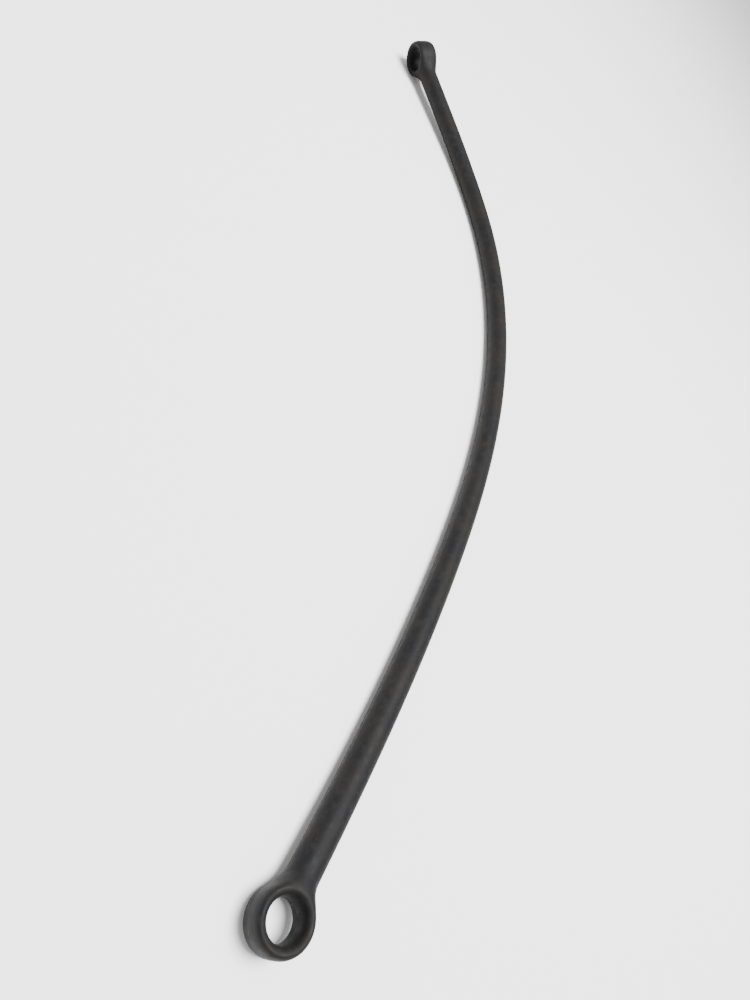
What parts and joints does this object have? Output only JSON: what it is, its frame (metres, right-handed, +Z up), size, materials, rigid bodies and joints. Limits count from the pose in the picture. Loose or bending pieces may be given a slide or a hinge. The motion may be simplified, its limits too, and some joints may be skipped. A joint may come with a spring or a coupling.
{
  "type": "racket vibration dampener",
  "caption": "Long round rubber strap with a ring at each end, woven across the strings of a racket to damp their vibration.",
  "frame": {"origin": "centre of the near ring's bore", "axes": "+X from the near ring to the far ring, +Z up from the surface that the strap lies on"},
  "size_m": [0.1817, 0.0366, 0.0077],
  "materials": {
    "rubber": "matte moulded black rubber with a soft sheen"
  },
  "bodies": {
    "near_end": {"near_ring": "rubber", "near_neck": "rubber"},
    "strap_section_01": {"strap_section_01": "rubber"},
    "strap_section_02": {"strap_section_02": "rubber"},
    "strap_section_03": {"strap_section_03": "rubber"},
    "strap_section_04": {"strap_section_04": "rubber"},
    "strap_section_05": {"strap_section_05": "rubber"},
    "strap_section_06": {"strap_section_06": "rubber"},
    "strap_section_07": {"strap_section_07": "rubber"},
    "strap_section_08": {"strap_section_08": "rubber"},
    "strap_section_09": {"strap_section_09": "rubber"},
    "strap_section_10": {"strap_section_10": "rubber"},
    "strap_section_11": {"strap_section_11": "rubber"},
    "strap_section_12": {"strap_section_12": "rubber"},
    "strap_section_13": {"strap_section_13": "rubber"},
    "strap_section_14": {"strap_section_14": "rubber"},
    "strap_section_15": {"strap_section_15": "rubber"},
    "strap_section_16": {"strap_section_16": "rubber"},
    "strap_section_17": {"strap_section_17": "rubber"},
    "strap_section_18": {"strap_section_18": "rubber"},
    "far_end": {"far_neck": "rubber", "far_ring": "rubber"}
  },
  "joints": [
    {"name": "near_ring_twist", "type": "hinge", "parent": "strap_section_01", "child": "near_end", "pos_m": [0.00719, -0.00351, -0.00024], "axis": [-0.8984, 0.4382, 0.0297], "range_deg": [-60, 60], "stiffness_Nm_per_rad": 0.0002},
    {"name": "weave_01", "type": "hinge", "parent": "strap_section_02", "child": "strap_section_01", "pos_m": [0.01583, -0.00754, -0.00052], "axis": [-0.4107, -0.9118, 0], "range_deg": [-35, 35], "stiffness_Nm_per_rad": 0.0016},
    {"name": "sway_01", "type": "hinge", "parent": "strap_section_03", "child": "strap_section_02", "pos_m": [0.02459, -0.01134, -0.00066], "axis": [-0.0069, 0.0028, -1], "range_deg": [-30, 30], "stiffness_Nm_per_rad": 0.0016},
    {"name": "weave_02", "type": "hinge", "parent": "strap_section_04", "child": "strap_section_03", "pos_m": [0.03347, -0.01484, -0.00066], "axis": [0.3543, 0.9351, 0], "range_deg": [-35, 35], "stiffness_Nm_per_rad": 0.0016},
    {"name": "sway_02", "type": "hinge", "parent": "strap_section_05", "child": "strap_section_04", "pos_m": [0.04243, -0.01811, -0.00066], "axis": [0, 0, 1], "range_deg": [-30, 30], "stiffness_Nm_per_rad": 0.0016},
    {"name": "weave_03", "type": "hinge", "parent": "strap_section_06", "child": "strap_section_05", "pos_m": [0.05149, -0.02113, -0.00066], "axis": [-0.3049, -0.9524, 0], "range_deg": [-35, 35], "stiffness_Nm_per_rad": 0.0016},
    {"name": "sway_03", "type": "hinge", "parent": "strap_section_07", "child": "strap_section_06", "pos_m": [0.06061, -0.02392, -0.00066], "axis": [0, 0, -1], "range_deg": [-30, 30], "stiffness_Nm_per_rad": 0.0016},
    {"name": "weave_04", "type": "hinge", "parent": "strap_section_08", "child": "strap_section_07", "pos_m": [0.06985, -0.02631, -0.00066], "axis": [0.225, 0.9744, 0], "range_deg": [-35, 35], "stiffness_Nm_per_rad": 0.0016},
    {"name": "sway_04", "type": "hinge", "parent": "strap_section_09", "child": "strap_section_08", "pos_m": [0.07921, -0.02822, -0.00066], "axis": [0, 0, 1], "range_deg": [-30, 30], "stiffness_Nm_per_rad": 0.0016},
    {"name": "weave_05", "type": "hinge", "parent": "strap_section_09", "child": "strap_section_10", "pos_m": [0.08866, -0.02955, -0.00066], "axis": [0.1045, 0.9945, 0], "range_deg": [-35, 35], "stiffness_Nm_per_rad": 0.0016},
    {"name": "sway_05", "type": "hinge", "parent": "strap_section_10", "child": "strap_section_11", "pos_m": [0.09818, -0.03021, -0.00066], "axis": [0, 0, 1], "range_deg": [-30, 30], "stiffness_Nm_per_rad": 0.0016},
    {"name": "weave_06", "type": "hinge", "parent": "strap_section_11", "child": "strap_section_12", "pos_m": [0.10772, -0.03013, -0.00066], "axis": [0.0523, -0.9986, 0], "range_deg": [-35, 35], "stiffness_Nm_per_rad": 0.0016},
    {"name": "sway_06", "type": "hinge", "parent": "strap_section_12", "child": "strap_section_13", "pos_m": [0.11722, -0.02921, -0.00066], "axis": [0, 0, -1], "range_deg": [-30, 30], "stiffness_Nm_per_rad": 0.0016},
    {"name": "weave_07", "type": "hinge", "parent": "strap_section_13", "child": "strap_section_14", "pos_m": [0.12659, -0.02739, -0.00066], "axis": [-0.2462, 0.9692, 0], "range_deg": [-35, 35], "stiffness_Nm_per_rad": 0.0016},
    {"name": "sway_07", "type": "hinge", "parent": "strap_section_14", "child": "strap_section_15", "pos_m": [0.1357, -0.02452, -0.00066], "axis": [0, 0, 1], "range_deg": [-30, 30], "stiffness_Nm_per_rad": 0.0016},
    {"name": "weave_08", "type": "hinge", "parent": "strap_section_15", "child": "strap_section_16", "pos_m": [0.14438, -0.02056, -0.00066], "axis": [0.4656, -0.885, 0], "range_deg": [-35, 35], "stiffness_Nm_per_rad": 0.0016},
    {"name": "sway_08", "type": "hinge", "parent": "strap_section_16", "child": "strap_section_17", "pos_m": [0.15256, -0.01565, -0.00039], "axis": [0.036, 0.0239, -0.9991], "range_deg": [-30, 30], "stiffness_Nm_per_rad": 0.0016},
    {"name": "weave_09", "type": "hinge", "parent": "strap_section_17", "child": "strap_section_18", "pos_m": [0.16027, -0.01005, 0.00016], "axis": [-0.6018, 0.7986, 0], "range_deg": [-35, 35], "stiffness_Nm_per_rad": 0.0016},
    {"name": "far_ring_twist", "type": "hinge", "parent": "strap_section_18", "child": "far_end", "pos_m": [0.16778, -0.00418, 0.00071], "axis": [0.792, 0.6078, 0.0576], "range_deg": [-60, 60], "stiffness_Nm_per_rad": 0.0002}
  ]
}
